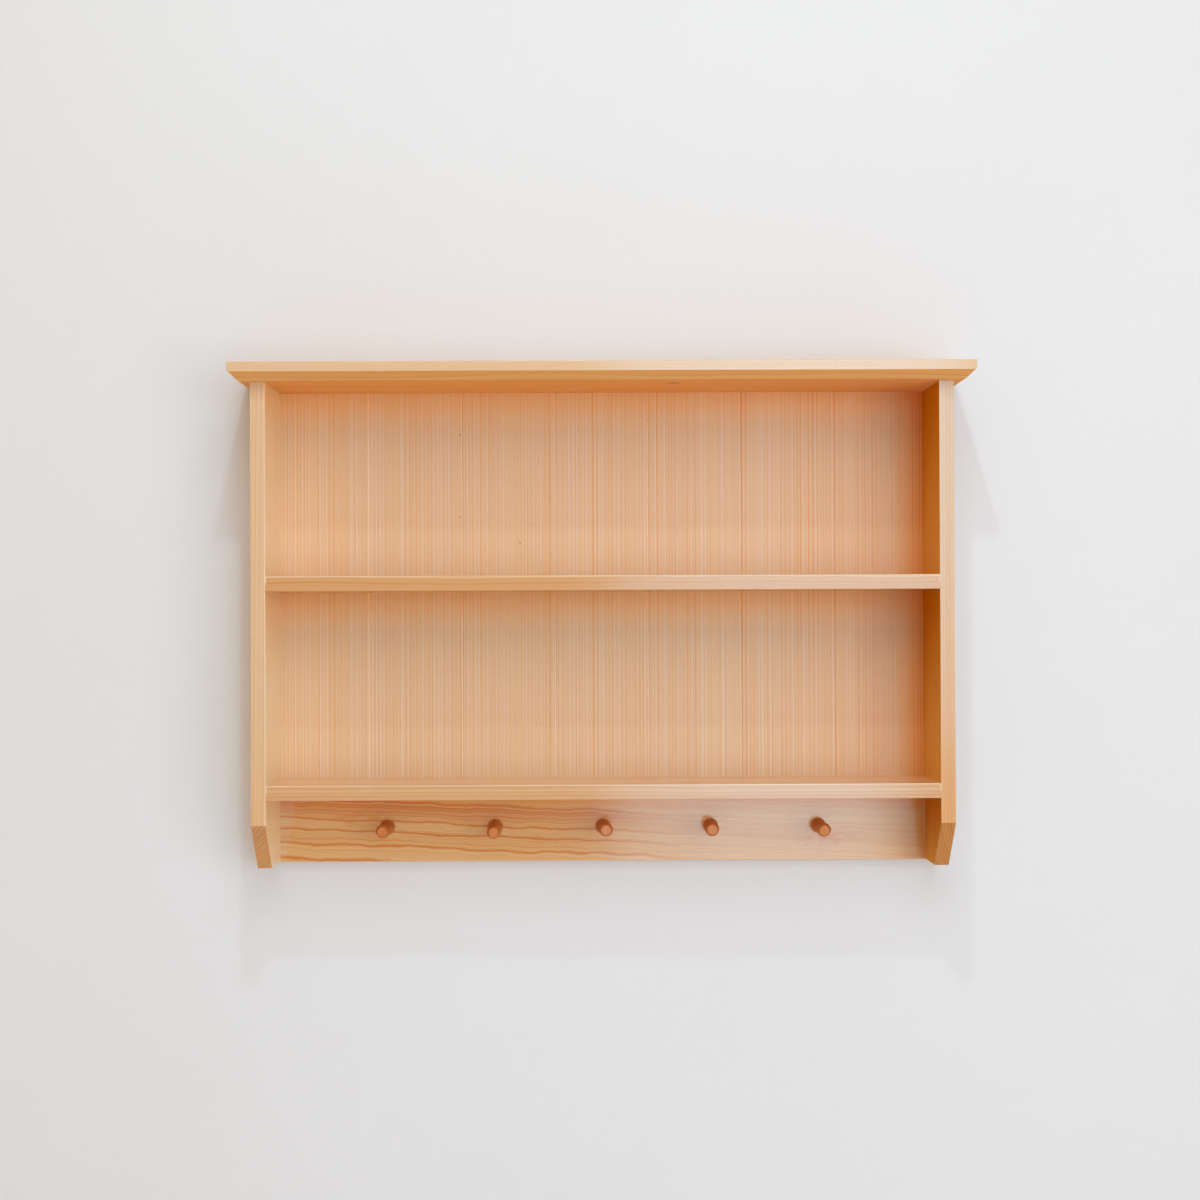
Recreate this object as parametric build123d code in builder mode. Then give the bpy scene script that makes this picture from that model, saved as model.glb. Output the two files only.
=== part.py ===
"""Wall shelf in the Shaker manner: two open bays over a rail with turned pegs.

Millimetres. +X is to the right seen from the front, +Y points at the wall, +Z is up.
The origin lies on the wall plane, midway between the two hanger plates' entry holes.
"""

import os
from math import hypot, radians, tan

from build123d import *

os.makedirs("parts", exist_ok=True)

# ---------------------------------------------------------------- driving dimensions

# Case
case_width = 852.0  # over the outer faces of the two sides
case_depth = 150.0  # wall plane to the sides' front edges
side_thickness = 18.0
shelf_thickness = 18.0
bay_height = 235.0  # clear height of each of the two bays
corner_cut = 57.0  # 45 degree cut at each side's lower front corner
arris = 0.8  # radius of the eased edges

# Top board
top_thickness = 22.0
end_overhang = 24.0
front_overhang = 28.0
front_bevel = 10.0
end_bevel = 12.0
top_rebate_height = 10.0  # step in its rear underside that takes the back boards

# Back boards
back_thickness = 12.0
back_count = 7
side_rebate = 5.0  # how far the outer boards reach into each side
tongue_thickness = 4.0
tongue_length = 5.0
tongue_side_gap = 0.2
tongue_end_gap = 0.5
joint_bevel = 1.5

# Peg rail
rail_height = 87.0
rail_thickness = 22.0

# Pegs
peg_pitch = 136.0
peg_length = 58.0  # rail face to the flat end
peg_collar_radius = 9.4
peg_collar_length = 2.5
peg_neck_radius = 6.2
peg_neck_place = 31.0  # rail face to the thinnest section
peg_head_radius = 8.6
peg_head_place = 52.0  # rail face to the widest section of the head
peg_end_radius = 5.8
tenon_radius = 5.5
tenon_length = 16.0
tenon_chamfer = 1.0
glue_gap = 0.1  # radial room round a tenon or dowel
hole_end_gap = 1.0  # air left at the bottom of a blind hole
# Each hand-fitted peg leans a little: degrees towards +X, then degrees upwards.
peg_leans = [(-1.8, -0.8), (0.0, -2.1), (3.5, 0.2), (-0.9, 0.2), (2.2, -1.3)]

# Dowels
dowel_radius = 4.0
dowel_length = 30.0
dowel_in_side = 11.0  # the part of each dowel that sits in a side or in the top board
dowel_chamfer = 1.0
dowel_rows = 3
dowel_inset = 25.0  # shelf and top dowels, from the case front and from the back boards
rail_dowel_inset = 20.0  # rail dowels, from the rail's top and bottom edges

# Nails through the back boards
nail_radius = 0.8
nail_length = 30.0
nail_head_radius = 1.7
nail_head_length = 0.8
nail_gap = 0.05
nail_spread = 70.0  # between the two nails in one board

# Hanger plates and their screws
hanger_drop = 60.0  # sides' top ends down to the entry holes
plate_width = 11.0
plate_length = 44.0
plate_thickness = 2.0
plate_rise = 4.0  # plate's middle above the entry hole
entry_radius = 4.0
slot_radius = 2.25
slot_rise = 9.0  # entry hole's centre up to the slot's upper end centre
pocket_depth = 9.0  # room for a wall screw's head, from the wall plane
plate_gap = 0.1
screw_spacing = 32.0
screw_radius = 1.5
screw_head_radius = 2.75
countersink_angle = 90.0
screw_length = 16.0
screw_gap = 0.05
driver_slot_width = 0.8
driver_slot_depth = 0.7

# ---------------------------------------------------------------- places worked out

x_outer = case_width / 2
x_inner = x_outer - side_thickness
x_rebate = x_inner + side_rebate
x_side = (x_inner + x_outer) / 2  # middle of a side's thickness
x_top = x_outer + end_overhang

y_front = -case_depth
y_top_front = y_front - front_overhang
y_back = -back_thickness  # front face of the back boards
y_rail = -rail_thickness

z_case = hanger_drop  # upper ends of the sides, underside of the top board
z_top = z_case + top_thickness
z_middle = z_case - bay_height - shelf_thickness  # underside of the middle shelf
z_lower = z_middle - bay_height - shelf_thickness  # underside of the lower shelf
z_bottom = z_lower - rail_height

shelf_depth = case_depth - back_thickness
dowel_in_board = dowel_length - dowel_in_side
dowel_hole_radius = dowel_radius + glue_gap
hanger_x = (x_rebate + x_outer) / 2  # middle of the solid strip beside the rebate
peg_count = len(peg_leans)


def spread(first, last, count):
    """Places spaced evenly from first to last."""
    return [first + (last - first) * step / (count - 1) for step in range(count)]


dowel_ys = spread(y_front + dowel_inset, y_back - dowel_inset, dowel_rows)
rail_dowel_zs = [z_bottom + rail_dowel_inset, z_lower - rail_dowel_inset]
shelf_dowel_points = [
    (y, z_under + shelf_thickness / 2) for z_under in (z_middle, z_lower) for y in dowel_ys
]
rail_dowel_points = [(y_rail / 2, z) for z in rail_dowel_zs]

back_cover = 2 * x_rebate / back_count  # width of one back board without its tongue
back_lefts = [-x_rebate + number * back_cover for number in range(back_count)]
nail_zs = [
    z_lower + shelf_thickness / 2,
    z_middle + shelf_thickness / 2,
    z_case + top_rebate_height / 2,
]
nail_points = [
    (left + back_cover / 2 + offset, z)
    for left in back_lefts
    for offset in (-nail_spread / 2, nail_spread / 2)
    for z in nail_zs
]
screw_points = [
    (side * hanger_x, plate_rise + offset)
    for side in (-1, 1)
    for offset in (-screw_spacing / 2, screw_spacing / 2)
]


def peg_seat(number):
    """Plane at a peg's foot whose normal is the peg's axis, lifted so that its collar just touches."""
    across, up = (tan(radians(lean)) for lean in peg_leans[number])
    lean = hypot(across, up)
    lift = peg_collar_radius * lean / hypot(1, lean)
    x = (number - (peg_count - 1) / 2) * peg_pitch
    return Plane(origin=(x, y_rail - lift, (z_bottom + z_lower) / 2), z_dir=(across, -1, up))


peg_seats = [peg_seat(number) for number in range(peg_count)]


def eased(part, keep_sharp):
    """Edges of a part to round off: all but those that keep_sharp picks by their middle."""
    return [edge for edge in part.edges() if not keep_sharp(edge.center())]


def near(value, target):
    return abs(value - target) < 0.01


# ---------------------------------------------------------------- top board

with BuildPart() as top_board:
    with BuildSketch(Plane.YZ.offset(-x_top)):
        with BuildLine():
            Polyline(
                (0, z_case),
                (y_top_front + front_bevel, z_case),
                (y_top_front, z_case + front_bevel),
                (y_top_front, z_top),
                (0, z_top),
                close=True,
            )
        make_face()
    extrude(amount=2 * x_top)
    with BuildSketch(Plane.XZ):
        with BuildLine():
            Polyline(
                (x_top - end_bevel, z_case),
                (x_top, z_case + end_bevel),
                (x_top, z_top),
                (-x_top, z_top),
                (-x_top, z_case + end_bevel),
                (end_bevel - x_top, z_case),
                close=True,
            )
        make_face()
    extrude(amount=-y_top_front, mode=Mode.INTERSECT)
    fillet(eased(top_board, lambda middle: near(middle.Y, 0) or near(middle.Z, z_case)), arris)
    with BuildSketch(Plane.XY.offset(z_case)):
        Rectangle(2 * x_rebate, back_thickness, align=(Align.CENTER, Align.MAX))
    extrude(amount=top_rebate_height, mode=Mode.SUBTRACT)
    with BuildSketch(Plane.XY.offset(z_case)):
        with Locations([(x, y) for x in (-x_side, x_side) for y in dowel_ys]):
            Circle(dowel_hole_radius)
    extrude(amount=dowel_in_side + hole_end_gap, mode=Mode.SUBTRACT)
    with BuildSketch(Plane.XZ.offset(back_thickness)):
        with Locations([(x, z) for x, z in nail_points if z > z_case]):
            Circle(nail_radius + nail_gap)
    extrude(amount=nail_length - back_thickness + hole_end_gap, mode=Mode.SUBTRACT)
top_board.part.label = "top_board"
export_step(top_board.part, "parts/top_board.step")

# ---------------------------------------------------------------- sides

with BuildPart() as right_side:
    with BuildSketch(Plane.YZ.offset(x_inner)):
        with BuildLine():
            Polyline(
                (0, z_case),
                (y_front, z_case),
                (y_front, z_bottom + corner_cut),
                (y_front + corner_cut, z_bottom),
                (0, z_bottom),
                close=True,
            )
        make_face()
    extrude(amount=side_thickness)
    fillet(
        eased(
            right_side,
            lambda middle: near(middle.Y, 0) or near(middle.Z, z_case) or near(middle.X, x_side),
        ),
        arris,
    )
    # Rebate for the back boards, from the rail up.
    with BuildSketch(Plane.XY.offset(z_lower)):
        with Locations((x_inner, 0)):
            Rectangle(side_rebate, back_thickness, align=(Align.MIN, Align.MAX))
    extrude(amount=z_case - z_lower, mode=Mode.SUBTRACT)
    # Dowel holes for the shelves and the rail, then for the top board.
    with BuildSketch(Plane.YZ.offset(x_inner)):
        with Locations(shelf_dowel_points + rail_dowel_points):
            Circle(dowel_hole_radius)
    extrude(amount=dowel_in_side + hole_end_gap, mode=Mode.SUBTRACT)
    with BuildSketch(Plane.XY.offset(z_case)):
        with Locations([(x_side, y) for y in dowel_ys]):
            Circle(dowel_hole_radius)
    extrude(amount=-dowel_in_board - hole_end_gap, mode=Mode.SUBTRACT)
    # Hanger plate let in flush, a pocket for the wall screw's head and pilot holes.
    with BuildSketch(Plane.XZ):
        with Locations((hanger_x, plate_rise)):
            SlotOverall(plate_length + 2 * plate_gap, plate_width + 2 * plate_gap, rotation=90)
    extrude(amount=plate_thickness, mode=Mode.SUBTRACT)
    with BuildSketch(Plane.XZ):
        with Locations((hanger_x, slot_rise / 2)):
            SlotCenterToCenter(slot_rise, 2 * entry_radius, rotation=90)
    extrude(amount=pocket_depth, mode=Mode.SUBTRACT)
    with BuildSketch(Plane.XZ):
        with Locations([(x, z) for x, z in screw_points if x > 0]):
            Circle(screw_radius + screw_gap)
    extrude(amount=screw_length + hole_end_gap, mode=Mode.SUBTRACT)
right_side.part.label = "right_side"
export_step(right_side.part, "parts/right_side.step")

with BuildPart() as left_side:
    mirror(right_side.part, about=Plane.YZ)
left_side.part.label = "left_side"
export_step(left_side.part, "parts/left_side.step")

# ---------------------------------------------------------------- shelves

for name, z_under in (("middle_shelf", z_middle), ("lower_shelf", z_lower)):
    z_centre = z_under + shelf_thickness / 2
    with BuildPart() as shelf:
        with BuildSketch(Plane.XY.offset(z_under)):
            with Locations((0, y_back)):
                Rectangle(2 * x_inner, shelf_depth, align=(Align.CENTER, Align.MAX))
        extrude(amount=shelf_thickness)
        fillet(shelf.edges().filter_by(Axis.X).group_by(Axis.Y)[0], arris)
        for end in (-1, 1):
            with BuildSketch(Plane.YZ.offset(end * x_inner)):
                with Locations([(y, z_centre) for y in dowel_ys]):
                    Circle(dowel_hole_radius)
            extrude(amount=-end * (dowel_in_board + hole_end_gap), mode=Mode.SUBTRACT)
        with BuildSketch(Plane.XZ.offset(back_thickness)):
            with Locations([(x, z) for x, z in nail_points if near(z, z_centre)]):
                Circle(nail_radius + nail_gap)
        extrude(amount=nail_length - back_thickness + hole_end_gap, mode=Mode.SUBTRACT)
    shelf.part.label = name
    export_step(shelf.part, f"parts/{name}.step")

# ---------------------------------------------------------------- peg rail

with BuildPart() as peg_rail:
    with BuildSketch(Plane.XY.offset(z_bottom)):
        Rectangle(2 * x_inner, rail_thickness, align=(Align.CENTER, Align.MAX))
    extrude(amount=rail_height)
    fillet(peg_rail.edges().filter_by(Axis.X).group_by(Axis.Y)[0].sort_by(Axis.Z)[0], arris)
    for end in (-1, 1):
        with BuildSketch(Plane.YZ.offset(end * x_inner)):
            with Locations(rail_dowel_points):
                Circle(dowel_hole_radius)
        extrude(amount=-end * (dowel_in_board + hole_end_gap), mode=Mode.SUBTRACT)
    with BuildSketch(*peg_seats):
        Circle(tenon_radius + glue_gap)
    extrude(amount=-tenon_length - hole_end_gap, mode=Mode.SUBTRACT)
peg_rail.part.label = "peg_rail"
export_step(peg_rail.part, "parts/peg_rail.step")

# ---------------------------------------------------------------- pegs

for number, seat in enumerate(peg_seats, start=1):
    # In the profile's plane, local Y runs out along the peg and local X is its radius.
    with BuildPart() as peg:
        with BuildSketch(Plane(origin=seat.origin, x_dir=seat.x_dir, z_dir=-seat.y_dir)):
            with BuildLine():
                Polyline(
                    (0, -tenon_length),
                    (tenon_radius - tenon_chamfer, -tenon_length),
                    (tenon_radius, tenon_chamfer - tenon_length),
                    (tenon_radius, 0),
                    (peg_collar_radius, 0),
                    (peg_collar_radius, peg_collar_length),
                )
                Spline(
                    (peg_collar_radius, peg_collar_length),
                    (peg_neck_radius, peg_neck_place),
                    (peg_head_radius, peg_head_place),
                    tangents=[(-1, 1), (0, 1)],
                )
                TangentArc(
                    (peg_head_radius, peg_head_place), (peg_end_radius, peg_length), tangent=(0, 1)
                )
                Polyline((peg_end_radius, peg_length), (0, peg_length), (0, -tenon_length))
            make_face()
        revolve(axis=Axis(seat.origin, seat.z_dir))
    peg.part.label = f"peg_{number}"
    export_step(peg.part, f"parts/peg_{number}.step")

# ---------------------------------------------------------------- back boards

for number, left in enumerate(back_lefts, start=1):
    with BuildPart() as back_board:
        with BuildSketch(Plane.XY.offset(z_lower)) as section:
            with Locations((left, 0)):
                Rectangle(back_cover, back_thickness, align=(Align.MIN, Align.MAX))
            front_corners = section.vertices().group_by(Axis.Y)[0].sort_by(Axis.X)
            if number == 1:
                front_corners = front_corners[1:]
            if number == back_count:
                front_corners = front_corners[:1]
            chamfer(front_corners, joint_bevel)
            if number > 1:
                with Locations((left, y_back / 2)):
                    Rectangle(
                        tongue_length + tongue_end_gap,
                        tongue_thickness + 2 * tongue_side_gap,
                        align=(Align.MIN, Align.CENTER),
                        mode=Mode.SUBTRACT,
                    )
            if number < back_count:
                with Locations((left + back_cover, y_back / 2)):
                    Rectangle(tongue_length, tongue_thickness, align=(Align.MIN, Align.CENTER))
        extrude(amount=z_case + top_rebate_height - z_lower)
        board_nails = [(x, z) for x, z in nail_points if left < x < left + back_cover]
        for radius, depth in (
            (nail_radius + nail_gap, back_thickness),
            (nail_head_radius + nail_gap, nail_head_length),
        ):
            with BuildSketch(Plane.XZ):
                with Locations(board_nails):
                    Circle(radius)
            extrude(amount=depth, mode=Mode.SUBTRACT)
    back_board.part.label = f"back_board_{number}"
    export_step(back_board.part, f"parts/back_board_{number}.step")

# ---------------------------------------------------------------- dowels

# The shelves' and the rail's dowels run along +X from these two places, one at each end.
dowel_start_xs = (-x_inner - dowel_in_side, x_inner - dowel_in_board)
dowel_groups = {
    "top_dowels": [
        Plane(origin=(x, y, z_case - dowel_in_board), z_dir=(0, 0, 1))
        for x in (-x_side, x_side)
        for y in dowel_ys
    ],
    "middle_shelf_dowels": [
        Plane(origin=(x, y, z_middle + shelf_thickness / 2), z_dir=(1, 0, 0))
        for x in dowel_start_xs
        for y in dowel_ys
    ],
    "lower_shelf_dowels": [
        Plane(origin=(x, y, z_lower + shelf_thickness / 2), z_dir=(1, 0, 0))
        for x in dowel_start_xs
        for y in dowel_ys
    ],
    "rail_dowels": [
        Plane(origin=(x, y, z), z_dir=(1, 0, 0)) for x in dowel_start_xs for y, z in rail_dowel_points
    ],
}
for name, starts in dowel_groups.items():
    with BuildPart() as dowels:
        with BuildSketch(*starts):
            Circle(dowel_radius)
        extrude(amount=dowel_length)
        chamfer(dowels.edges().filter_by(GeomType.CIRCLE), dowel_chamfer)
    dowels.part.label = name
    export_step(dowels.part, f"parts/{name}.step")

# ---------------------------------------------------------------- nails

with BuildPart() as back_board_nails:
    for radius, length in ((nail_radius, nail_length), (nail_head_radius, nail_head_length)):
        with BuildSketch(Plane.XZ):
            with Locations(nail_points):
                Circle(radius)
        extrude(amount=length)
back_board_nails.part.label = "back_board_nails"
export_step(back_board_nails.part, "parts/back_board_nails.step")

# ---------------------------------------------------------------- hangers

for name, side in (("left_hanger_plate", -1), ("right_hanger_plate", 1)):
    with BuildPart() as hanger_plate:
        with BuildSketch(Plane.XZ):
            with Locations((side * hanger_x, plate_rise)):
                SlotOverall(plate_length, plate_width, rotation=90)
            with Locations((side * hanger_x, 0)):
                Circle(entry_radius, mode=Mode.SUBTRACT)
            with Locations((side * hanger_x, slot_rise / 2)):
                SlotCenterToCenter(slot_rise, 2 * slot_radius, rotation=90, mode=Mode.SUBTRACT)
        extrude(amount=plate_thickness)
        plate_screws = [(x, z) for x, z in screw_points if x * side > 0]
        with Locations([Plane(origin=(x, 0, z), z_dir=(0, 1, 0)) for x, z in plate_screws]):
            CounterSinkHole(
                radius=screw_radius + screw_gap,
                counter_sink_radius=screw_head_radius + screw_gap,
                depth=plate_thickness,
                counter_sink_angle=countersink_angle,
            )
    hanger_plate.part.label = name
    export_step(hanger_plate.part, f"parts/{name}.step")

with BuildPart() as hanger_screws:
    with Locations([Plane(origin=(x, 0, z), z_dir=(0, -1, 0)) for x, z in screw_points]):
        Cylinder(screw_radius, screw_length - screw_radius, align=(Align.CENTER, Align.CENTER, Align.MIN))
        Cone(
            screw_head_radius,
            screw_radius,
            screw_head_radius - screw_radius,
            align=(Align.CENTER, Align.CENTER, Align.MIN),
        )
        Box(
            2 * screw_head_radius,
            driver_slot_width,
            driver_slot_depth,
            align=(Align.CENTER, Align.CENTER, Align.MIN),
            mode=Mode.SUBTRACT,
        )
    with Locations(
        [Plane(origin=(x, screw_radius - screw_length, z), z_dir=(0, -1, 0)) for x, z in screw_points]
    ):
        Cone(screw_radius, 0, screw_radius, align=(Align.CENTER, Align.CENTER, Align.MIN))
hanger_screws.part.label = "hanger_screws"
export_step(hanger_screws.part, "parts/hanger_screws.step")
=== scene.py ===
"""Clear-finished pine wall case: two open bays over a peg rail with five turned pegs."""

from math import pi

import bpy
from mathutils import Matrix, Vector


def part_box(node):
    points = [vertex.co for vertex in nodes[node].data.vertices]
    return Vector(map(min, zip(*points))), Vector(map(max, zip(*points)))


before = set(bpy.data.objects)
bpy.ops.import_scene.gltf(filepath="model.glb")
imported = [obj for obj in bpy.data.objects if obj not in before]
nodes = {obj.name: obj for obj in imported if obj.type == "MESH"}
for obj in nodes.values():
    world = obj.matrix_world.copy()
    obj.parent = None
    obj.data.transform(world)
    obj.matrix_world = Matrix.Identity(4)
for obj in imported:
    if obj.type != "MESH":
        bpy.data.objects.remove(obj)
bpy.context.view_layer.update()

scene = bpy.context.scene

MM = 1000.0  # patterns are laid out in millimetres, and the model is in metres

# where the case's hollows begin and end, mm
TOP_UNDERSIDE = 60.0
MIDDLE_UNDERSIDE = -193.0
LOWER_UNDERSIDE = -446.0
BOTTOM = -533.0
INNER_SIDE = 408.0

# directions that faces look in
FRONT = (0, -1, 0)
UNDER = (0, 0, -1)
UPPER = (0, 0, 1)
BEVEL = (0, -0.707, -0.707)
INWARD_LEFT = (1, 0, 0)
INWARD_RIGHT = (-1, 0, 0)
FLANK_LIT = (0.707, -0.707, 0)
FLANK_SHADED = (-0.707, -0.707, 0)


# ---------------------------------------------------------------- camera

EYE = (-0.0228, -2.8613, -0.2323)
PAN, TILT, ROLL = -0.0071, 0.0101, 0.0041  # radians away from square on to the wall

camera_data = bpy.data.cameras.new("camera")
camera = bpy.data.objects.new("camera", camera_data)
scene.collection.objects.link(camera)
camera_data.sensor_width = 36.0
camera_data.lens = 67.30
camera_data.clip_end = 100
turn = (
    Matrix.Rotation(PAN, 4, "Z")
    @ Matrix.Rotation(TILT, 4, "X")
    @ Matrix.Rotation(ROLL, 4, "Y")
    @ Matrix.Rotation(pi / 2, 4, "X")
)
camera.matrix_world = Matrix.Translation(EYE) @ turn
scene.camera = camera


# ---------------------------------------------------------------- node helpers

def linear(part):
    """One part of a paint-card colour, 0 to 255, on the linear scale of light."""
    part = part / 255
    if part <= 0.04045:
        return part / 12.92
    return ((part + 0.055) / 1.055) ** 2.4


def swatch(red, green, blue):
    """A paint-card colour as the linear colour that a shader wants."""
    return (linear(red), linear(green), linear(blue), 1)


def add(tree, kind, inputs=None, **settings):
    """A shader node, with sockets linked in and plain values set on it."""
    node = tree.nodes.new("ShaderNode" + kind)
    for key, value in settings.items():
        setattr(node, key, value)
    for key, value in (inputs or {}).items():
        if isinstance(value, bpy.types.NodeSocket):
            tree.links.new(value, node.inputs[key])
        elif value is not None:
            node.inputs[key].default_value = value
    return node


def calc(tree, operation, a, b=None, c=None):
    return add(tree, "Math", {0: a, 1: b, 2: c}, operation=operation).outputs[0]


def vector(tree, operation, a, b=None, scale=None):
    inputs = {0: a, 1: b}
    if scale is not None:
        inputs["Scale"] = scale
    node = add(tree, "VectorMath", inputs, operation=operation)
    return node.outputs["Value" if operation in ("LENGTH", "DOT_PRODUCT") else "Vector"]


def noise(tree, where, spacing, detail=2.0, roughness=0.5, colour=False):
    """Noise whose blotches are about `spacing` apart along each of the three axes."""
    stretched = vector(tree, "DIVIDE", where, spacing)
    inputs = {"Vector": stretched, "Scale": 1.0, "Detail": detail, "Roughness": roughness}
    return add(tree, "TexNoise", inputs).outputs[1 if colour else 0]


def ease(tree, value, start, end, low=0.0, high=1.0):
    """Runs smoothly from low to high while value goes from start to end."""
    inputs = {"Value": value, "From Min": start, "From Max": end, "To Min": low, "To Max": high}
    return add(tree, "MapRange", inputs, interpolation_type="SMOOTHSTEP").outputs[0]


def turned_to(tree, normal, direction, start=0.8, end=0.95):
    """1 on faces that look in a direction, and 0 on faces that look well away from it."""
    return ease(tree, vector(tree, "DOT_PRODUCT", normal, direction), start, end)


def millimetres(tree, texture):
    """The place on a piece, mm."""
    return vector(tree, "SCALE", texture.outputs["Object"], scale=MM)


def swing(tree, pattern, amount):
    """Noise turned into a swing about 0, of at most half the amount each way."""
    return calc(tree, "MULTIPLY_ADD", pattern, amount, -amount / 2)


def apart(tree, place, spot, reach):
    """How far a place is from a spot, with reach counting as 1 along each of the axes."""
    offset = vector(tree, "SUBTRACT", place, spot)
    return vector(tree, "LENGTH", vector(tree, "DIVIDE", offset, reach))


def mixed(tree, amount, under, over, blend_type="MIX"):
    inputs = {0: amount, 6: under, 7: over}
    return add(tree, "Mix", inputs, data_type="RGBA", blend_type=blend_type).outputs[2]


def blank(name):
    material = bpy.data.materials.new(name)
    material.use_nodes = True
    material.node_tree.nodes.clear()
    return material, material.node_tree


def close(tree, shader):
    add(tree, "OutputMaterial", {"Surface": shader})


# ---------------------------------------------------------------- wood

GRAIN = {"X": (1, 2, 0), "Y": (0, 2, 1), "Z": (0, 1, 2)}  # across, across, along
ALONG = {"X": (1, 0, 0), "Y": (0, 1, 0), "Z": (0, 0, 1)}
KNOT_SWIRL = (5.0, 2.2)  # how far a knot bends the rings, along and across the grain
KNOT_CORE = (2.2, 1.0)  # how far its brown core reaches, along and across
BROWN = swatch(120, 66, 30)
# pale arris colour: partly wear, partly painted highlight
WEAR_AND_GLINT_TONE = swatch(250, 226, 190)

# sizes of the wood's patterns, mm: both ways across the grain, then along it
WANDER_ACROSS = 160.0
RIPPLES = (26.0, 26.0, 40.0)
FADING = (45.0, 45.0, 380.0)
STREAKS = (5.5, 5.5, 420.0)
FIBRES = (0.7, 0.7, 26.0)
PATCHES = (38.0, 38.0, 260.0)
BLOTS = (5.0, 5.0, 14.0)
DUCTS = (2.6, 2.6, 24.0)
SEED_STEP = Vector((17.3, 29.1, 211.7))  # between boards whose seeds differ by 1
NOISE_GAIN = 4.0  # noise strays about a quarter each way, and this makes it about 1


def heart_distance(tree, across, along, heart, drift, wander):
    """How far a place is from the heart line, mm, with the rings' wander added."""
    offsets = []
    for coordinate, centre, slope, stray in zip(across, heart, drift, wander):
        line = calc(tree, "MULTIPLY_ADD", along, slope, centre)
        offset = calc(tree, "SUBTRACT", coordinate, line)
        offsets.append(calc(tree, "ADD", offset, stray))
    flat = add(tree, "CombineXYZ", {0: offsets[0], 1: offsets[1]}).outputs[0]
    return vector(tree, "LENGTH", flat)


def knot_reach(size, grain, along, across):
    return tuple(size * (along if axis == grain else across) for axis in "XYZ")


def strong_lines(tree, radius, fade, wanted):
    """Growth lines given one by one: radius from the heart, half width, strength."""
    total = 0.0
    for place_in, half_width, force in wanted:
        off = calc(tree, "ABSOLUTE", calc(tree, "SUBTRACT", radius, place_in))
        strong = ease(tree, off, 0.25 * half_width, 1.6 * half_width, force, 0.0)
        total = calc(tree, "MAXIMUM", total, strong)
    return calc(tree, "MULTIPLY", total, calc(tree, "MULTIPLY_ADD", fade, 0.9, 0.5))


def near_corner(tree, parts, axis, edge, reach):
    """1 at a hollow's edge, fading to 0 over reach, and 0 on the edge's other side."""
    away = calc(tree, "MULTIPLY_ADD", parts["XYZ".index(axis)], 1 / reach, -edge / reach)
    return calc(tree, "MULTIPLY", ease(tree, away, 0.0, 1.0, 1.0, 0.0),
                ease(tree, away, -0.05, 0.0))


def wear_and_glint_arrises(tree, place, parts, fade, box, wear_and_glint_side):
    """1 along a board's arrises, where the second nearest face is near too; they are painted
    paler, partly wear and partly painted highlight.
    """
    low, high = (MM * Vector(corner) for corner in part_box(box))
    inside = vector(tree, "ABSOLUTE", vector(tree, "SUBTRACT", place, (low + high) / 2))
    inside = vector(tree, "SUBTRACT", (high - low) / 2, inside)
    a, b, c = add(tree, "SeparateXYZ", {0: inside}).outputs[:3]
    second = calc(tree, "MAXIMUM", calc(tree, "MINIMUM", a, b),
                  calc(tree, "MINIMUM", calc(tree, "MAXIMUM", a, b), c))
    wear_and_glint_mask = calc(tree, "MULTIPLY", ease(tree, second, 0.5, 1.7, 1.0, 0.0),
               calc(tree, "MULTIPLY_ADD", fade, 1.2, 0.1))
    if wear_and_glint_side:
        axis, sign = "XYZ".index(wear_and_glint_side[0]), wear_and_glint_side[1]
        middle = (low + high)[axis] / 2
        side = ease(tree, parts[axis], middle - 2 * sign, middle + 2 * sign, 0.1, 1.0)
        wear_and_glint_mask = calc(tree, "MULTIPLY", wear_and_glint_mask, side)
    return wear_and_glint_mask


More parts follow.
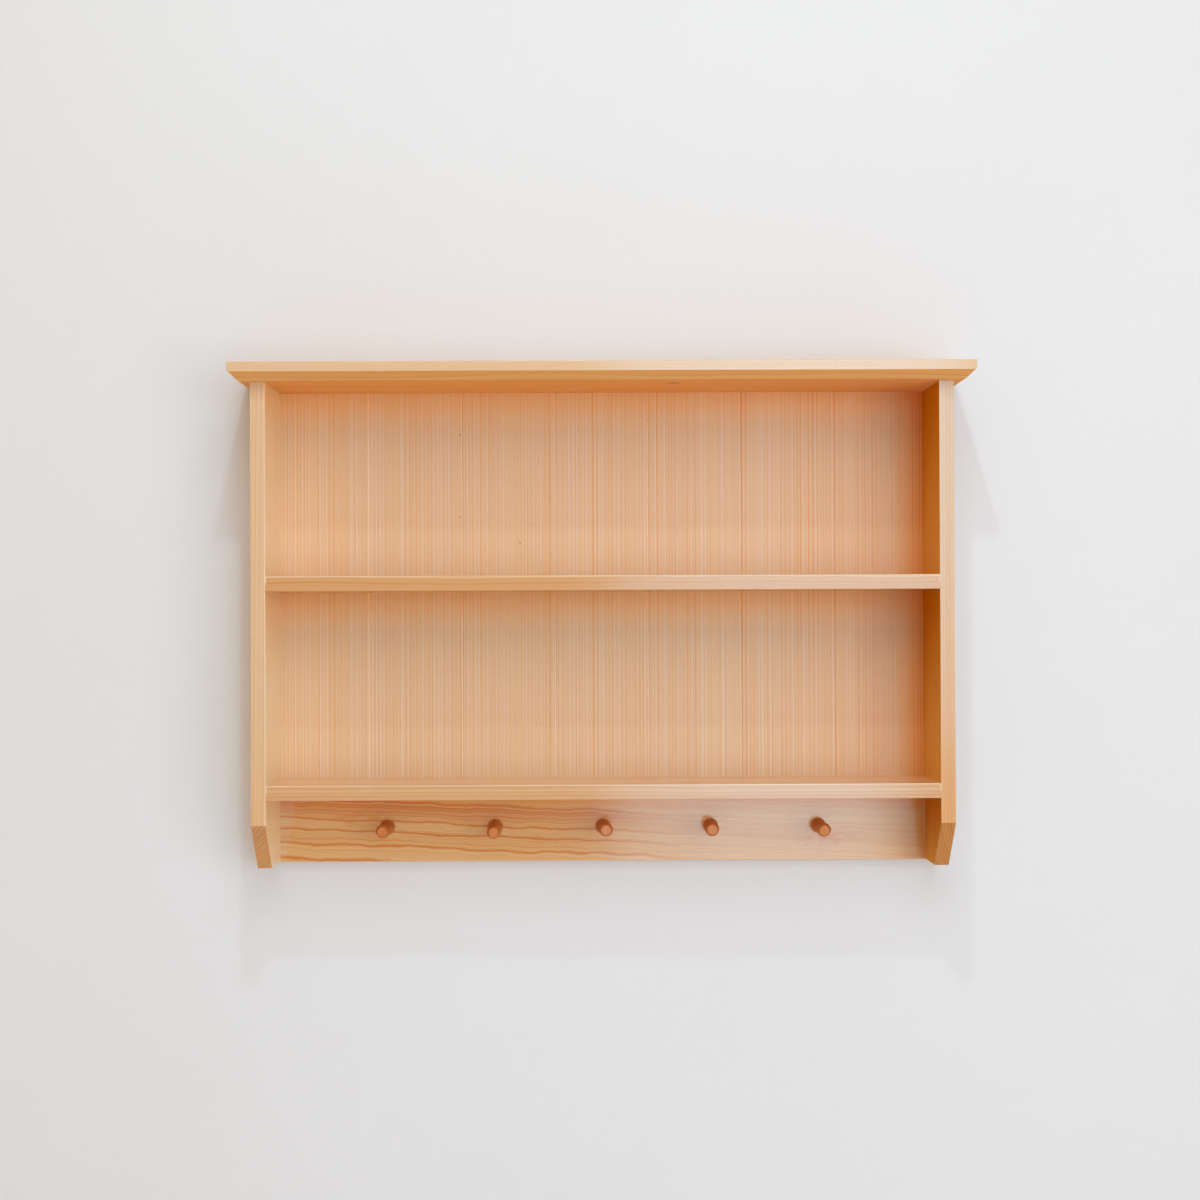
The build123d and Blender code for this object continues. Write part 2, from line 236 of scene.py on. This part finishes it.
def wood(
    name, grain, heart, ring, pale, dark, band,
    drift=(0.0, 0.0), sway=2.0, sway_length=500.0, ripple=0.0, uneven=0.9,
    contrast=0.7, faint=0.35, late=(0.45, 0.9), bands=0.3, streak=0.10, fibre=0.12,
    patch=None, patch_amount=0.0, end_tone=(0.80, 0.66, 0.52, 1), end_from=(0.35, 0.72),
    end_contrast=0.2, box=None, wear_and_glint=0.3, wear_and_glint_side=None, varnish=0.85, gloss=0.11,
    shine=0.15, seed=0.0, early=(0.15, 0.6), knots=(), lines=(), lines_end=None, cuts=(),
    faces=(), dull=(), shade_and_tone_gradients=(), stains=(),
):
    """Growth rings round a heart line, cut by whatever faces the board has.

    grain         axis that the trunk stood along
    heart         where the heart line passes, mm, in the two axes across the grain
    ring          mean ring width, mm
    pale, dark    colours between the growth lines and on them
    band          colour of the widest early wood, and bands is its strength
    drift         how far the heart line moves sideways per mm of length
    sway          how far the rings wander, mm, over sway_length
    ripple        small quick wander of the rings, mm
    uneven        how much the rings differ in width
    contrast      strength of the growth lines, and faint is the weakest one's share of it
    late          where through each ring its dark late wood sets in
    early         where through each ring its pale early wood thins out
    streak        strength of long soft streaks, and fibre is that of fine short ones
    patch         colour of broad soft patches, which are as strong as patch_amount
    lines         strong growth lines: radius from the heart, half width, strength
    lines_end     where along the grain they start and stop fading out
    cuts          dark growth lines that show on the cut ends alone, given as lines are
    knots         small knots: middle, size
    stains        darker figure: middle, reach, amount
    faces         painted light and shade on faces turned one way: normal, colour
    shade_and_tone_gradients  tones fading away from a corner, mostly painted shade: axis,
              edge, reach, colour, and the direction that their faces look in
    end_tone      tone of the cut ends, which set in between the two slants of end_from
    end_contrast  strength of the growth lines on the cut ends
    box           node whose arrises are painted paler, partly wear and partly painted highlight, as strongly as wear_and_glint
    wear_and_glint_side  axis and sign of the one side whose arrises are paler fully
    varnish       strength of the varnish coat, and gloss is its roughness
    dull          faces that got no varnish: normals
    shine         sheen of the bare wood
    seed          which part of the pattern the board is cut from
    """
    material, tree = blank(name)
    texture = add(tree, "TexCoord")
    normal = texture.outputs["Normal"]
    place = millimetres(tree, texture)
    parts = add(tree, "SeparateXYZ", {0: place}).outputs
    across_1, across_2, along = (parts[i] for i in GRAIN[grain])
    board = add(tree, "CombineXYZ", {0: across_1, 1: across_2, 2: along}).outputs[0]
    board = vector(tree, "ADD", board, seed * SEED_STEP)
    lengthwise = vector(tree, "DOT_PRODUCT", normal, ALONG[grain])
    end = ease(tree, calc(tree, "ABSOLUTE", lengthwise), *end_from)

    # how the rings wander along the board
    spacing = (WANDER_ACROSS, WANDER_ACROSS, sway_length)
    wander = noise(tree, board, spacing, 2.0, 0.45, colour=True)
    wander = vector(tree, "SUBTRACT", wander, (0.5, 0.5, 0.5))
    wander = vector(tree, "SCALE", wander, scale=NOISE_GAIN * sway)
    wander = add(tree, "SeparateXYZ", {0: wander}).outputs
    radius = heart_distance(tree, (across_1, across_2), along, heart, drift, wander)
    if ripple:
        quick = noise(tree, board, RIPPLES, 2.5)
        radius = calc(tree, "ADD", radius, swing(tree, quick, NOISE_GAIN * ripple))
    for spot, size in knots:
        reach = knot_reach(size, grain, *KNOT_SWIRL)
        bulge = ease(tree, apart(tree, place, spot, reach), 1.0, 0.0, 0.0, size * 1.6)
        radius = calc(tree, "ADD", radius, bulge)

    # ring number and the way through each ring
    years = calc(tree, "MULTIPLY_ADD", radius, 1 / (4.5 * ring), seed)
    widths = add(tree, "TexNoise", {"W": years, "Scale": 1.0, "Detail": 2.0},
                 noise_dimensions="1D").outputs[0]
    count = calc(tree, "MULTIPLY", radius, 1 / ring)
    count = calc(tree, "MULTIPLY_ADD", widths, 2.4 * uneven, count)
    number = calc(tree, "FLOOR", count)
    through = calc(tree, "FRACT", count)
    summer = ease(tree, through, *late)
    winter = ease(tree, through, 0.94, 1.0, 1.0, 0.0)
    line = calc(tree, "MULTIPLY", summer, winter)
    chance = add(tree, "TexWhiteNoise", {"W": calc(tree, "ADD", number, seed * 3.7 + 0.5)},
                 noise_dimensions="1D")
    chances = add(tree, "SeparateColor", {0: chance.outputs["Color"]}).outputs
    line = calc(tree, "MULTIPLY", line, ease(tree, chances[0], 0.0, 1.0, faint, 1.0))
    fade = noise(tree, board, FADING, 1.0)
    line = calc(tree, "MULTIPLY", line, ease(tree, fade, 0.3, 0.65, 0.45, 1.0))

    # colour: growth lines, then streaks and fibres between the pale and the dark tone
    grown = calc(tree, "MULTIPLY", line, contrast)
    if lines:
        strong = strong_lines(tree, radius, fade, lines)
        if lines_end:
            strong = calc(tree, "MULTIPLY", strong, ease(tree, along, *lines_end, 1.0, 0.15))
        grown = calc(tree, "MAXIMUM", grown, strong)
    streaks = noise(tree, board, STREAKS, 2.0, 0.6)
    fibres = noise(tree, board, FIBRES, 3.0, 0.65)
    for pattern, amount in ((streaks, streak), (fibres, fibre)):
        grown = calc(tree, "ADD", grown, swing(tree, pattern, 3 * amount))
    colour = mixed(tree, calc(tree, "ADD", grown, 0.12), pale, dark)
    spring = calc(tree, "MULTIPLY", ease(tree, through, *early, 1.0, 0.15),
                  ease(tree, chances[1], 0.3, 0.9, 0.0, bands))
    colour = mixed(tree, spring, colour, band)
    if patch:
        patches = noise(tree, board, PATCHES, 2.0, 0.55)
        colour = mixed(tree, ease(tree, patches, 0.42, 0.68, 0.0, patch_amount), colour, patch)

    # resin ducts: short brown dashes along the grain
    ducts = add(tree, "TexVoronoi", {
        "Vector": vector(tree, "DIVIDE", board, DUCTS), "Scale": 1.0,
    })
    dash = ease(tree, ducts.outputs["Distance"], 0.06, 0.11, 0.35, 0.0)
    colour = mixed(tree, dash, colour, BROWN)

    # knots' cores and stains, both with ragged edges
    for spot, size in knots:
        reach = knot_reach(size, grain, *KNOT_CORE)
        ragged = calc(tree, "MULTIPLY_ADD", streaks, 0.5, apart(tree, place, spot, reach))
        colour = mixed(tree, ease(tree, ragged, 1.3, 0.7, 0.0, 0.8), colour, BROWN)
    for middle, reach, amount in stains:
        ragged = calc(tree, "MULTIPLY_ADD", wander[2], 0.5, apart(tree, place, middle, reach))
        blot = calc(tree, "MULTIPLY", ease(tree, ragged, 1.3, 0.2, 0.0, amount),
                    ease(tree, noise(tree, board, BLOTS, 2.0), 0.4, 0.62))
        colour = mixed(tree, blot, colour, dark)

    # painted light and shade on faces turned one way and near corners; end grain drinks the
    # finish and reads darker
    for direction, tone in faces:
        colour = mixed(tree, turned_to(tree, normal, direction), colour, tone, "MULTIPLY")
    for axis, edge, reach, tone, direction in shade_and_tone_gradients:
        near = calc(tree, "MULTIPLY", near_corner(tree, parts, axis, edge, reach),
                    turned_to(tree, normal, direction, 0.3, 0.7))
        colour = mixed(tree, near, colour, tone, "MULTIPLY")
    colour = mixed(tree, end, colour, end_tone, "MULTIPLY")
    cut = calc(tree, "MULTIPLY", line, end_contrast)
    if cuts:
        cut = calc(tree, "MAXIMUM", cut, strong_lines(tree, radius, fade, cuts))
    colour = mixed(tree, calc(tree, "MULTIPLY", cut, end), colour, BROWN)

    # paler arrises: partly wear, partly painted highlight on the edges that catch the light
    if box:
        wear_and_glint_mask = wear_and_glint_arrises(tree, place, parts, fade, box, wear_and_glint_side)
        colour = mixed(tree, calc(tree, "MULTIPLY", wear_and_glint_mask, wear_and_glint), colour, WEAR_AND_GLINT_TONE)

    # surface: fibres and growth lines stand proud, under a varnish coat
    rough = calc(tree, "MULTIPLY_ADD", fibres, 0.22, 0.38)
    relief = calc(tree, "MULTIPLY_ADD", line, 0.6, fibres)
    bump = add(tree, "Bump", {"Height": relief, "Strength": 0.22, "Distance": 0.0003})
    coat = varnish
    for direction in dull:
        varnished = calc(tree, "SUBTRACT", 1.0, turned_to(tree, normal, direction))
        coat = calc(tree, "MULTIPLY", varnished, coat)
    close(tree, add(tree, "BsdfPrincipled", {
        "Base Color": colour, "Roughness": rough, "Normal": bump.outputs[0],
        "Specular IOR Level": shine, "Coat Weight": coat, "Coat Roughness": gloss,
        "Coat IOR": 1.5,
    }).outputs[0])
    return material


def finish(node, material):
    """Gives a node of the model its material."""
    slots = nodes[node].data.materials
    slots.clear()
    slots.append(material)


# painted light on the V joints' flanks: the flank turned to the window is painted paler, and
# the shaded flank a little paler to lift its shade
PAINTED_LIGHT_FLANK = (1.16, 1.36, 1.65, 1)
PAINTED_FILL_FLANK = (1.03, 1.05, 1.15, 1)
back_boards = [
    # heart x, heart y, ring, contrast, patch amount, painted light on its lit and its shaded
    # joint flank, specks
    (-1250, 70, 4.5, 0.62, 0.1, PAINTED_LIGHT_FLANK, PAINTED_LIGHT_FLANK, ()),
    (-1100, -120, 4.9, 0.62, 0.2, PAINTED_LIGHT_FLANK, PAINTED_LIGHT_FLANK,
     [((-179.6, -12.0, 6.8), 0.8), ((-179.9, -12.0, -97.4), 0.7)]),
    (760, 90, 4.6, 0.68, 0.1, PAINTED_LIGHT_FLANK, PAINTED_FILL_FLANK,
     [((-103.9, -12.0, -130.7), 0.8)]),
    (-900, 60, 4.8, 0.64, 0.2, PAINTED_LIGHT_FLANK, PAINTED_FILL_FLANK,
     [((58.1, -12.0, 25.1), 0.8)]),
    (1150, -90, 4.4, 0.72, 0.3, PAINTED_LIGHT_FLANK, PAINTED_FILL_FLANK, ()),
    (1000, 110, 4.7, 0.74, 0.2, PAINTED_LIGHT_FLANK, PAINTED_FILL_FLANK, ()),
    (-850, -70, 4.3, 0.72, 0.4, PAINTED_LIGHT_FLANK, PAINTED_FILL_FLANK, ()),
]
# painted shade on the back, deeper and more orange under the boards above it and near the right
# side, and a little painted light beside the left side
BACK_LIGHT_AND_SHADE = [
    ("Z", TOP_UNDERSIDE, -60.0, (1.1, 0.86, 0.56, 1), FRONT),
    ("Z", MIDDLE_UNDERSIDE, -60.0, (1.14, 0.87, 0.56, 1), FRONT),
    ("X", -INNER_SIDE, 120.0, (1.06, 1.03, 1.0, 1), FRONT),
    ("X", INNER_SIDE, -230.0, (1.01, 0.88, 0.75, 1), FRONT),
    ("X", INNER_SIDE, -46.0, (0.98, 0.68, 0.3, 1), FRONT),
]
for number, board in enumerate(back_boards, 1):
    heart_x, heart_y, ring, contrast, patch_amount, lit, shaded, specks = board
    finish(f"back_board_{number}", wood(
        f"back board {number} pine", "Z", (heart_x, heart_y), ring,
        swatch(228, 193, 152), swatch(223, 153, 86), swatch(229, 208, 188),
        sway=1.0, sway_length=1400.0, uneven=0.75, contrast=contrast, faint=0.3,
        late=(0.5, 0.85), early=(0.1, 0.4), bands=0.62, streak=0.05, fibre=0.12,
        patch=swatch(226, 182, 146), patch_amount=patch_amount,
        varnish=0.15, gloss=0.3, shine=0.15, seed=3.1 * number, knots=specks,
        faces=[(FLANK_LIT, lit), (FLANK_SHADED, shaded)], shade_and_tone_gradients=BACK_LIGHT_AND_SHADE,
    ))

# the underside and the front bevel are painted darker and more orange: painted shade
finish("top_board", wood(
    "top board pine", "X", (-60, 260), 1.9, swatch(226, 187, 145), swatch(220, 159, 97),
    swatch(230, 199, 168), sway=2.5, sway_length=600.0, contrast=0.5, bands=0.4,
    box="top_board", seed=1.7, shine=0.0, knots=[((88.0, -125.0, 60.0), 5.0)],
    faces=[(UNDER, (1.19, 0.9, 0.54, 1)), (BEVEL, (0.98, 0.69, 0.31, 1))], dull=[UNDER],
))
# the inner face is painted paler as painted light, and darker and more orange under each board
# as painted shade; the front grows more orange towards the bottom
finish("left_side", wood(
    "left side pine", "Z", (-502, -230), 4.2, swatch(223, 184, 141), swatch(216, 152, 88),
    swatch(229, 196, 160), drift=(0.012, 0.0), sway=1.6, contrast=0.5, bands=0.4,
    streak=0.2, end_tone=(0.91, 0.71, 0.43, 1), end_contrast=0.1, box="left_side", wear_and_glint=0.65,
    wear_and_glint_side=("X", 1), varnish=0.7, seed=5.3,
    cuts=[(120.5, 0.7, 0.3), (124.3, 0.5, 0.4), (128.0, 0.5, 0.3), (131.6, 0.6, 0.45),
          (135.3, 0.5, 0.3), (139.4, 0.6, 0.35)],
    faces=[(INWARD_LEFT, (1.37, 1.87, 2.3, 1))],
    shade_and_tone_gradients=[("Z", BOTTOM, 230.0, (1.0, 0.88, 0.74, 1), FRONT),
             ("Z", TOP_UNDERSIDE, -200.0, (0.96, 0.86, 0.68, 1), INWARD_LEFT),
             ("Z", MIDDLE_UNDERSIDE, -130.0, (1.04, 0.84, 0.65, 1), INWARD_LEFT),
             ("Z", LOWER_UNDERSIDE, -150.0, (1.0, 0.77, 0.46, 1), INWARD_LEFT)],
))
# the inner face is painted darker and orange, deepest under each board: painted shade; the
# front grows darker and more orange towards the bottom
finish("right_side", wood(
    "right side pine", "Z", (530, -172), 3.6, swatch(220, 185, 148), swatch(212, 154, 97),
    swatch(226, 199, 173), sway=1.2, contrast=0.45, bands=0.4, uneven=0.6,
    end_tone=(0.87, 0.68, 0.36, 1), end_contrast=0.6, box="right_side", varnish=0.6,
    shine=0.0, seed=8.9, faces=[(INWARD_RIGHT, (1.2, 0.97, 0.42, 1))], dull=[INWARD_RIGHT],
    shade_and_tone_gradients=[("Z", BOTTOM, 590.0, (1.0, 0.75, 0.48, 1), FRONT),
             ("Z", TOP_UNDERSIDE, -280.0, (0.75, 0.5, 0.07, 1), INWARD_RIGHT),
             ("Z", MIDDLE_UNDERSIDE, -240.0, (0.75, 0.46, 0.07, 1), INWARD_RIGHT),
             ("Z", LOWER_UNDERSIDE, -150.0, (0.68, 0.38, 0.1, 1), INWARD_RIGHT)],
))
shelf_figures = {
    "middle_shelf": {
        "heart": (-60, -420), "ring": 4.2, "pale": swatch(213, 157, 98),
        "band": swatch(224, 178, 124), "sway": 5.0, "contrast": 0.5, "faint": 0.3,
        "seed": 11.3,
    },
    "lower_shelf": {
        "heart": (-20, -640), "ring": 4.3, "pale": swatch(214, 164, 111),
        "band": swatch(227, 186, 140), "sway": 2.4, "contrast": 0.6, "faint": 0.4,
        "seed": 14.9,
    },
}
# the shelves' tops are painted paler than their fronts: painted light
for node, figure in shelf_figures.items():
    finish(node, wood(
        node.replace("_", " ") + " pine", "X", dark=swatch(204, 122, 52), sway_length=300.0,
        bands=0.8, late=(0.35, 0.85), uneven=0.4, box=node, wear_and_glint=0.8, wear_and_glint_side=("Z", 1),
        faces=[(UPPER, (1.25, 1.45, 1.7, 1))], **figure,
    ))
# the rail is painted darker near the right side and more orange under the lower shelf: painted
# shade
finish("peg_rail", wood(
    "peg rail pine", "X", (60, -610), 2.6, swatch(230, 174, 104), swatch(214, 116, 14),
    swatch(232, 188, 134), drift=(0.0, -0.05), sway=2.0, sway_length=170.0, ripple=1.9,
    uneven=0.8, contrast=0.5, faint=0.15, late=(0.5, 0.92), bands=0.7, streak=0.12,
    fibre=0.14, box="peg_rail", seed=21.1,
    lines=[(104.5, 1.1, 1.0), (117.5, 1.0, 0.95), (122.2, 0.7, 0.5), (130.2, 0.95, 0.95),
           (141.2, 1.0, 1.0), (147.0, 0.75, 0.9), (150.5, 0.7, 0.8), (154.2, 0.8, 0.95),
           (157.6, 0.7, 0.8), (161.0, 1.0, 0.9), (155.0, 7.5, 0.5)],
    lines_end=(-40.0, 170.0),
    shade_and_tone_gradients=[("X", INNER_SIDE, -44.0, (0.84, 0.7, 0.55, 1), FRONT),
             ("Z", LOWER_UNDERSIDE, -32.0, (1.12, 0.79, 0.26, 1), FRONT)],
    stains=[((274.0, -22.0, -508.0), (44.0, 40.0, 16.0), 0.6),
            ((-80.0, -22.0, -506.0), (50.0, 40.0, 12.0), 0.3),
            ((-310.0, -22.0, -478.0), (60.0, 40.0, 14.0), 0.5)],
))
# the pegs' cut ends are painted paler: partly their own colour, partly painted sheen
for number in range(1, 6):
    centre = [MM * (low + high) / 2 for low, high in zip(*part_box(f"peg_{number}"))]
    finish(f"peg_{number}", wood(
        f"peg {number} pine", "Y", (centre[0] + 28.0, centre[2] - 34.0 + 9 * number), 2.6,
        swatch(202, 114, 50), swatch(152, 64, 16), swatch(212, 136, 76),
        sway=0.6, sway_length=60.0, contrast=0.75, bands=0.4,
        end_tone=(1.26, 1.44, 1.6, 1), end_from=(0.96, 0.995), end_contrast=0.0,
        varnish=0.28, gloss=0.2, seed=27.7 + number,
    ))


# ---------------------------------------------------------------- dowels and metal

for group in ("top_dowels", "middle_shelf_dowels", "lower_shelf_dowels", "rail_dowels"):
    finish(group, wood(
        group.replace("_", " ") + " beech", "X" if group != "top_dowels" else "Z",
        (40, 90), 1.6, swatch(222, 184, 146), swatch(188, 140, 98), swatch(228, 196, 164),
        sway=0.5, contrast=0.5, varnish=0.0, seed=35.9,
    ))


def metal(name, bright, dull, rough):
    """Plated steel: cloudy crystals, fine scratches and a little dulling."""
    material, tree = blank(name)
    place = millimetres(tree, add(tree, "TexCoord"))
    crystals = add(tree, "TexVoronoi", {"Vector": place, "Scale": 0.45})
    crystal = add(tree, "SeparateColor", {0: crystals.outputs["Color"]}).outputs[0]
    cloud = noise(tree, place, (6.0, 6.0, 6.0), 4.0, 0.6)
    scratches = noise(tree, place, (9.0, 0.3, 0.25), 3.0, 0.7)
    amount = calc(tree, "MULTIPLY_ADD", crystal, 0.35, calc(tree, "MULTIPLY", cloud, 0.6))
    colour = mixed(tree, amount, bright, dull)
    roughness = calc(tree, "MULTIPLY_ADD", scratches, 0.1, rough)
    roughness = calc(tree, "MULTIPLY_ADD", crystal, 0.08, roughness)
    bump = add(tree, "Bump", {"Height": scratches, "Strength": 0.15, "Distance": 0.0001})
    close(tree, add(tree, "BsdfPrincipled", {
        "Base Color": colour, "Metallic": 1.0, "Roughness": roughness,
        "Normal": bump.outputs[0],
    }).outputs[0])
    return material


zinc = metal("zinc plated steel", (0.66, 0.67, 0.68, 1), (0.44, 0.45, 0.46, 1), 0.26)
screw_steel = metal("screw steel", (0.62, 0.62, 0.60, 1), (0.38, 0.38, 0.37, 1), 0.22)
wire_steel = metal("nail steel", (0.52, 0.51, 0.50, 1), (0.30, 0.28, 0.27, 1), 0.34)
finish("left_hanger_plate", zinc)
finish("right_hanger_plate", zinc)
finish("hanger_screws", screw_steel)
finish("back_board_nails", wire_steel)


# ---------------------------------------------------------------- wall and floor

WALL_FACE = 0.0005  # just clear of the part's rear faces, so that they share no plane
WALL_TOP = 2.4
WALL_HALF = 4.0  # half of the wall's width
FLOOR_LEVEL = -1.6
FLOOR_HALF = 9.0
NEAR_REAR = 0.006  # light that leaves the part's rear faces meets the wall within this


def plane(name, corners):
    """A flat panel of the room, which isn't part of the object."""
    mesh = bpy.data.meshes.new(name)
    mesh.from_pydata(corners, [], [(0, 1, 2, 3)])
    panel = bpy.data.objects.new(name, mesh)
    scene.collection.objects.link(panel)
    return panel


def looked_at(tree):
    """1 where the camera sees it, straight or in a mirror or glass, and 0 for other light."""
    path = add(tree, "LightPath")
    seen = path.outputs["Is Camera Ray"]
    for kind in ("Is Glossy Ray", "Is Transmission Ray"):
        seen = calc(tree, "MAXIMUM", seen, path.outputs[kind])
    return seen


wall = plane("wall", [
    (-WALL_HALF, WALL_FACE, FLOOR_LEVEL), (WALL_HALF, WALL_FACE, FLOOR_LEVEL),
    (WALL_HALF, WALL_FACE, WALL_TOP), (-WALL_HALF, WALL_FACE, WALL_TOP),
])
floor = plane("floor", [
    (-FLOOR_HALF, -FLOOR_HALF, FLOOR_LEVEL), (FLOOR_HALF, -FLOOR_HALF, FLOOR_LEVEL),
    (FLOOR_HALF, FLOOR_HALF, FLOOR_LEVEL), (-FLOOR_HALF, FLOOR_HALF, FLOOR_LEVEL),
])

paint, tree = blank("wall paint")
place = millimetres(tree, add(tree, "TexCoord"))
roller = noise(tree, place, (5.0, 5.0, 5.0), 3.0, 0.6)
uneven = noise(tree, place, (420.0, 420.0, 420.0), 2.0)
tone = calc(tree, "MULTIPLY_ADD", uneven, 0.04, 0.98)
colour = vector(tree, "SCALE", (0.80, 0.78, 0.765), scale=tone)
bump = add(tree, "Bump", {"Height": roller, "Strength": 0.12, "Distance": 0.0006})
matt = add(tree, "BsdfDiffuse", {"Color": colour, "Normal": bump.outputs[0]}).outputs[0]
clear = add(tree, "BsdfTransparent").outputs[0]
path = add(tree, "LightPath")
# clear from behind, for shadows, and for light that leaves the part's own rear faces
behind = calc(tree, "MAXIMUM", add(tree, "NewGeometry").outputs["Backfacing"],
              path.outputs["Is Shadow Ray"])
just_left = calc(tree, "LESS_THAN", path.outputs["Ray Length"], NEAR_REAR)
behind = calc(tree, "MAXIMUM", behind, just_left)
close(tree, add(tree, "MixShader", {0: behind, 1: matt, 2: clear}).outputs[0])
wall.data.materials.append(paint)

pale_floor, tree = blank("pale floor")
texture = add(tree, "TexCoord")
cloud = noise(tree, texture.outputs["Object"], (0.8, 0.8, 0.8), 3.0)
tone = calc(tree, "MULTIPLY_ADD", cloud, 0.06, 0.97)
colour = vector(tree, "SCALE", (0.78, 0.77, 0.76), scale=tone)
matt = add(tree, "BsdfDiffuse", {"Color": colour}).outputs[0]
pale = add(tree, "Emission", {"Color": (0.77, 0.76, 0.75, 1)}).outputs[0]
pale_share = calc(tree, "MULTIPLY", looked_at(tree), 0.75)
close(tree, add(tree, "MixShader", {0: pale_share, 1: matt, 2: pale}).outputs[0])
floor.data.materials.append(pale_floor)


# ---------------------------------------------------------------- light

MIDDLE = Vector((0, 0, -0.2))
DAYLIGHT = (0.66, 0.755, 0.94)
SKYLIGHT = (0.3, 0.72, 1.0)
ROOM_GLOW = (0.56, 0.375, 0.20, 1)
BACKDROP = (0.78, 0.775, 0.765, 1)


def lamp(name, place, size, watts, colour):
    """A rectangle of light, turned to the middle of the case and not seen itself."""
    light = bpy.data.lights.new(name, "AREA")
    light.shape = "RECTANGLE"
    light.size, light.size_y = size
    light.energy = watts
    light.color = colour
    stand = bpy.data.objects.new(name, light)
    scene.collection.objects.link(stand)
    aim = (MIDDLE - Vector(place)).to_track_quat("-Z", "Y")
    stand.matrix_world = Matrix.Translation(place) @ aim.to_matrix().to_4x4()
    stand.visible_camera = False


lamp("window", (2.098, -3.634, -0.383), (1.48, 1.71), 38, DAYLIGHT)
lamp("window side", (0.201, -4.191, -0.25), (0.27, 2.0), 9, SKYLIGHT)
lamp("window middle", (0.628, -4.149, -0.25), (0.587, 2.0), 24.4, SKYLIGHT)
lamp("window edge", (1.008, -4.073, 0.075), (0.19, 1.35), 5.4, SKYLIGHT)
lamp("high window", (0.247, -3.534, 2.057), (2.03, 1.86), 54, DAYLIGHT)
lamp("high lamp", (-0.06, -1.70, 1.74), (0.08, 0.08), 9, (0.6, 0.9, 1.0))
lamp("back fill", (-1.6, 3.6, 1.2), (2.4, 2.4), 90, (0.57, 0.79, 1.0))

world = bpy.data.worlds.new("room")
scene.world = world
world.use_nodes = True
tree = world.node_tree
tree.nodes.clear()
glow = mixed(tree, looked_at(tree), ROOM_GLOW, BACKDROP)
sky = add(tree, "Background", {"Color": glow, "Strength": 1.0})
add(tree, "OutputWorld", {"Surface": sky.outputs[0]})

scene.view_settings.view_transform = "Standard"
